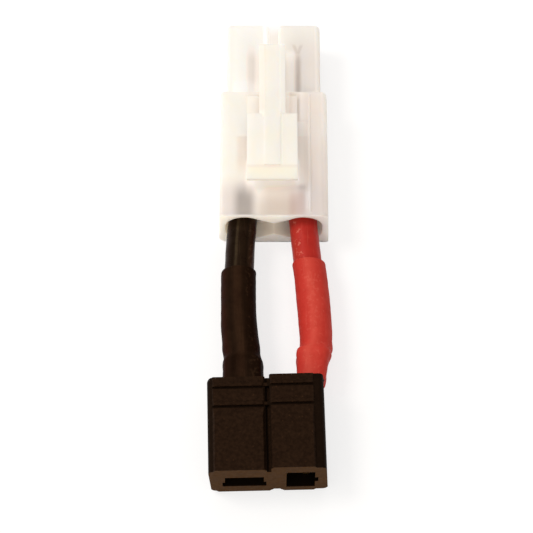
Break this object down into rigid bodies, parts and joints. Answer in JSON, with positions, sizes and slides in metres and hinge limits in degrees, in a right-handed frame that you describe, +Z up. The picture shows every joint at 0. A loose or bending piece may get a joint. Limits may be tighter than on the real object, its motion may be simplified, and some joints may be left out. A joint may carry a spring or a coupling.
{
  "type": "battery connector adapter",
  "caption": "Short adapter lead for battery packs: a latching nylon plug at one end, a T-slot connector at the other, joined by a black and a red silicone wire.",
  "frame": {"origin": "middle of the whole adapter's footprint, on the surface it lies on", "axes": "+Y along the wires towards the nylon plug's tubes, +Z up through the latch side, +X across towards the red wire"},
  "size_m": [0.0174, 0.071, 0.0115],
  "materials": {
    "natural_nylon": "semi-gloss translucent",
    "tinned_brass": "satin",
    "copper_strands": "stranded",
    "black_silicone": "satin",
    "red_silicone": "satin",
    "black_sleeve": "satin",
    "red_sleeve": "matte",
    "solder": "dull",
    "black_nylon": "fine texture",
    "gilt_brass": "polished",
    "gilt_spring": "polished"
  },
  "bodies": {
    "adapter": {"plug_housing": "natural_nylon", "socket_contact_black": "tinned_brass", "socket_contact_red": "tinned_brass", "conductor_black": "copper_strands", "conductor_red": "copper_strands", "insulation_black": "black_silicone", "insulation_red": "red_silicone", "shrink_sleeve_black": "black_sleeve", "shrink_sleeve_red": "red_sleeve", "solder_joint_black": "solder", "solder_joint_red": "solder", "t_housing": "black_nylon", "blade_contact_black": "gilt_brass", "blade_contact_red": "gilt_brass", "leaf_spring_black": "gilt_spring", "leaf_spring_red": "gilt_spring"},
    "latch": {"latch_lever": "natural_nylon"}
  },
  "joints": [
    {"name": "latch_press", "type": "hinge", "parent": "adapter", "child": "latch", "pos_m": [0.00038, 0.0206, 0.00947], "axis": [1, 0, 0], "range_deg": [0, 6], "stiffness_Nm_per_rad": 0.3}
  ]
}
